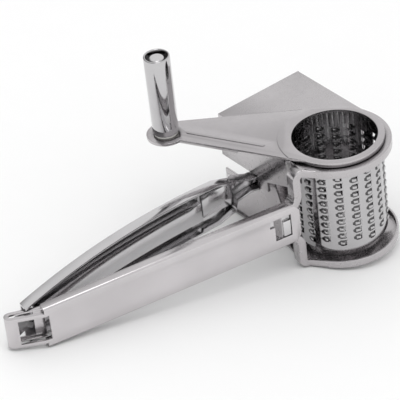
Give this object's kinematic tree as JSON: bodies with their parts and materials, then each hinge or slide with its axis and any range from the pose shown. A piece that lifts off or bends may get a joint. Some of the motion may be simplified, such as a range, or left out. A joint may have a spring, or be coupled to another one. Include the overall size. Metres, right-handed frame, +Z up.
{
  "type": "rotary drum grater",
  "caption": "Hand-held rotary drum grater in pressed steel: hopper with a hinged press lever, crank-turned grating drum, channel handle.",
  "frame": {"origin": "on the table, below the middle of the bounding box, with the grater lying at rest on its tail, ring and hopper corner", "axes": "+X from the handle's tail towards the drum, +Y towards the hopper's mouth, +Z up; the drum's axis leans about seven degrees towards the tail"},
  "size_m": [0.2076, 0.087, 0.0979],
  "materials": {
    "body_steel": "polished stainless sheet",
    "handle_steel": "satin polished stainless sheet",
    "drum_steel": "bright stainless sheet",
    "knob_steel": "mirror polished tube",
    "pin_steel": "plain stainless rivet",
    "bush_nylon": "natural nylon"
  },
  "bodies": {
    "frame": {"frame_handle": "handle_steel", "upper_cheek": "body_steel", "lower_cheek": "body_steel", "hopper_side_wall": "body_steel", "tie_plate": "body_steel"},
    "crank": {"drum_sheet": "drum_steel", "drum_rim": "drum_steel", "drum_collar": "drum_steel", "crank_plate": "body_steel", "knob_washer": "bush_nylon", "knob_pin": "pin_steel"},
    "knob": {"knob_sleeve": "knob_steel", "knob_top_bush": "bush_nylon", "knob_bottom_bush": "bush_nylon"},
    "lever": {"press_lever": "handle_steel", "lever_neck": "handle_steel", "pusher_plate": "body_steel"}
  },
  "joints": [
    {"name": "crank_turn", "type": "hinge", "parent": "frame", "child": "crank", "pos_m": [0.07415, -0.01658, 0.03104], "axis": [-0.1215, -0.0155, 0.9925], "continuous": true},
    {"name": "knob_spin", "type": "hinge", "parent": "crank", "child": "knob", "pos_m": [0.00874, 0.03335, 0.05409], "axis": [-0.1215, -0.0155, 0.9925], "continuous": true},
    {"name": "lever_press", "type": "hinge", "parent": "frame", "child": "lever", "pos_m": [-0.09985, -0.02063, 0.00968], "axis": [-0.1215, -0.0155, 0.9925], "range_deg": [0, 34]}
  ]
}
